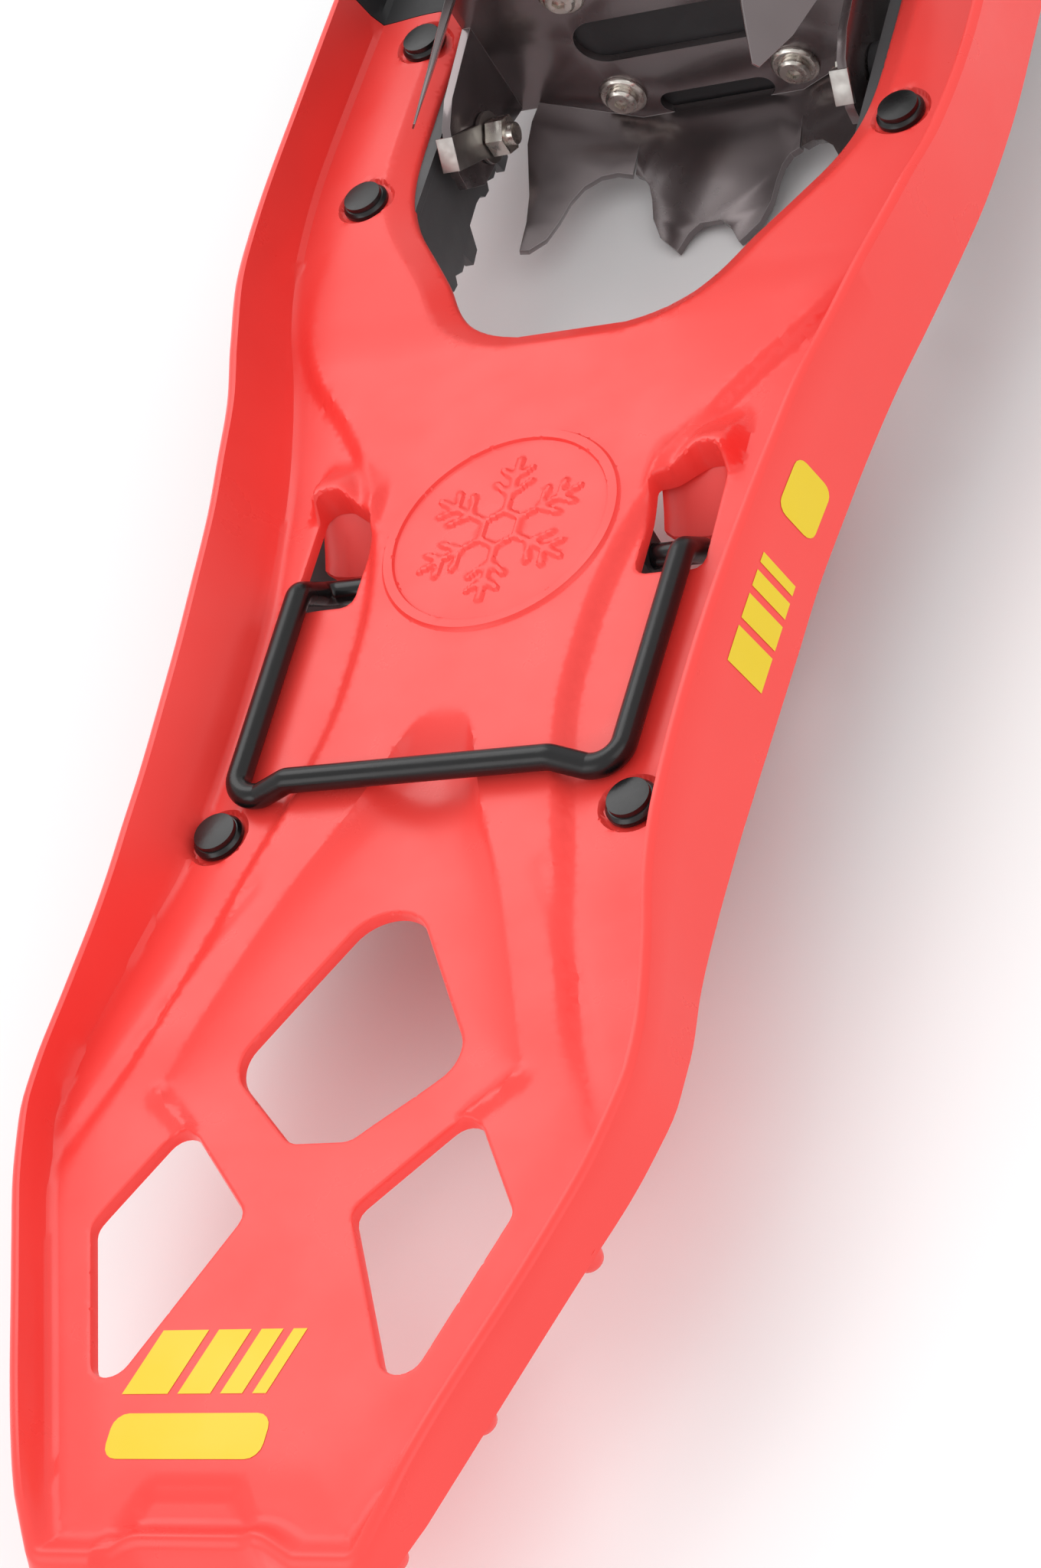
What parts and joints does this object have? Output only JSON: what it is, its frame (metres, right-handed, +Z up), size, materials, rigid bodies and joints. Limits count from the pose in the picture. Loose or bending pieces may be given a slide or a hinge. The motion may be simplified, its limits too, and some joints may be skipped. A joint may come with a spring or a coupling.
{
  "type": "snowshoe",
  "caption": "Moulded snowshoe: two-piece hollow-backed deck with tail windows, toothed side rails, pivoting toe crampon and strap harness, and a folding wire heel lift.",
  "frame": {"origin": "centre of the bottom of the whole box, under the middle of the deck", "axes": "+X to the right, +Y towards the toe along the deck, +Z up from the snow"},
  "size_m": [0.202, 0.6366, 0.2068],
  "materials": {
    "red_deck": "satin moulded, warm coral red",
    "black_deck": "satin moulded black",
    "black_plastic": "fine moulded grain",
    "black_stud": "semi-gloss",
    "powder_wire": "black powder coat",
    "dark_steel": "dark bronze-grey coated steel",
    "nickel": "bright nickel plate",
    "harness": "dense black weave with bound edge",
    "strap": "soft moulded polyurethane",
    "lever": "red moulded lever",
    "foam": "closed-cell foam"
  },
  "bodies": {
    "deck": {"tail_deck": "red_deck", "front_deck": "black_deck", "deck_studs": "black_stud", "stud_collars": "nickel", "left_rail": "dark_steel", "right_rail": "dark_steel", "bail_retainer_left": "black_plastic", "bail_retainer_right": "black_plastic", "hinge_bushes": "black_plastic"},
    "binding": {"toe_crampon": "dark_steel", "screw_washers": "nickel", "crampon_screws": "nickel", "footbed_nuts": "nickel", "hinge_bolts": "nickel", "hinge_nuts": "nickel", "lock_washers": "nickel", "footbed": "black_plastic", "footbed_grip": "foam", "wing_left": "harness", "wing_right": "harness", "forefoot_strap": "strap", "forefoot_ratchet_base": "black_plastic", "forefoot_ratchet_pin": "nickel", "forefoot_rivets": "nickel", "instep_strap": "strap", "instep_ratchet_base": "black_plastic", "instep_ratchet_pin": "nickel", "instep_rivets": "nickel", "heel_strap_rivets": "nickel"},
    "heel_lift": {"heel_lift_bail": "powder_wire"},
    "heel_loop": {"heel_strap": "strap", "heel_pad": "foam"},
    "forefoot_lever": {"forefoot_ratchet_lever": "lever"},
    "instep_lever": {"instep_ratchet_lever": "lever"}
  },
  "joints": [
    {"name": "binding_pivot", "type": "hinge", "parent": "deck", "child": "binding", "pos_m": [0, 0.10982, 0.03569], "axis": [1, 0, 0], "range_deg": [0, 86]},
    {"name": "heel_lift_fold", "type": "hinge", "parent": "deck", "child": "heel_lift", "pos_m": [0, -0.05368, 0.04269], "axis": [-1, 0, 0], "range_deg": [0, 95]},
    {"name": "heel_strap_swing", "type": "hinge", "parent": "binding", "child": "heel_loop", "pos_m": [0, 0.14567, 0.09634], "axis": [1, 0, 0], "range_deg": [-18, 3]},
    {"name": "forefoot_lever", "type": "hinge", "parent": "binding", "child": "forefoot_lever", "pos_m": [-0.04242, 0.19366, 0.03353], "axis": [0, -0.0698, 0.9976], "range_deg": [0, 55]},
    {"name": "instep_lever", "type": "hinge", "parent": "binding", "child": "instep_lever", "pos_m": [-0.04242, 0.19031, 0.08142], "axis": [0, -0.0698, 0.9976], "range_deg": [0, 55]}
  ]
}
